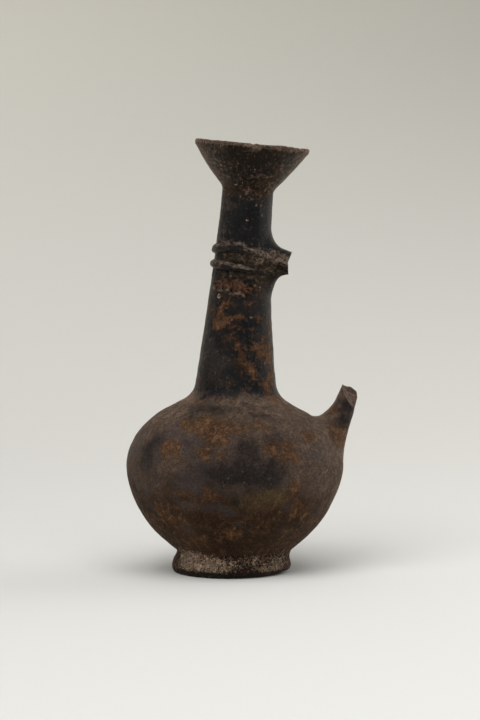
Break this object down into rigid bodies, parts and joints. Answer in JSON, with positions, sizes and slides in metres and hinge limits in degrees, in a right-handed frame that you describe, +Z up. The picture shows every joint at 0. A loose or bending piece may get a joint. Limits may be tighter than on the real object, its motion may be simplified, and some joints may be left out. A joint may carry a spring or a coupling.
{
  "type": "pottery ewer",
  "caption": "Small hand-built dark pottery ewer: globular body on a ring foot, tall leaning neck with applied ridges, funnel mouth, and the broken roots of a strap handle.",
  "frame": {"origin": "on the table, under the middle of the whole object's bounding box", "axes": "+Z up along the vessel, +X towards the side the handle was on, -Y the side seen in the picture"},
  "size_m": [0.0756, 0.0698, 0.1406],
  "materials": {
    "limed_clay": "matt, pale lime crust over dark clay",
    "belly_clay": "worn burnish, mottled brown and black",
    "neck_clay": "burnished, blue-black with orange-brown wear",
    "mouth_clay": "worn burnish, dark brown",
    "strap_clay": "worn burnish, rough grey-brown break"
  },
  "bodies": {
    "root": {"foot_ring": "limed_clay", "lower_body": "belly_clay", "upper_body": "belly_clay", "neck": "neck_clay", "funnel_mouth": "mouth_clay", "neck_ridge_upper": "neck_clay", "neck_ridge_lower": "neck_clay", "handle_root_upper": "strap_clay", "handle_root_lower": "strap_clay"}
  },
  "joints": []
}
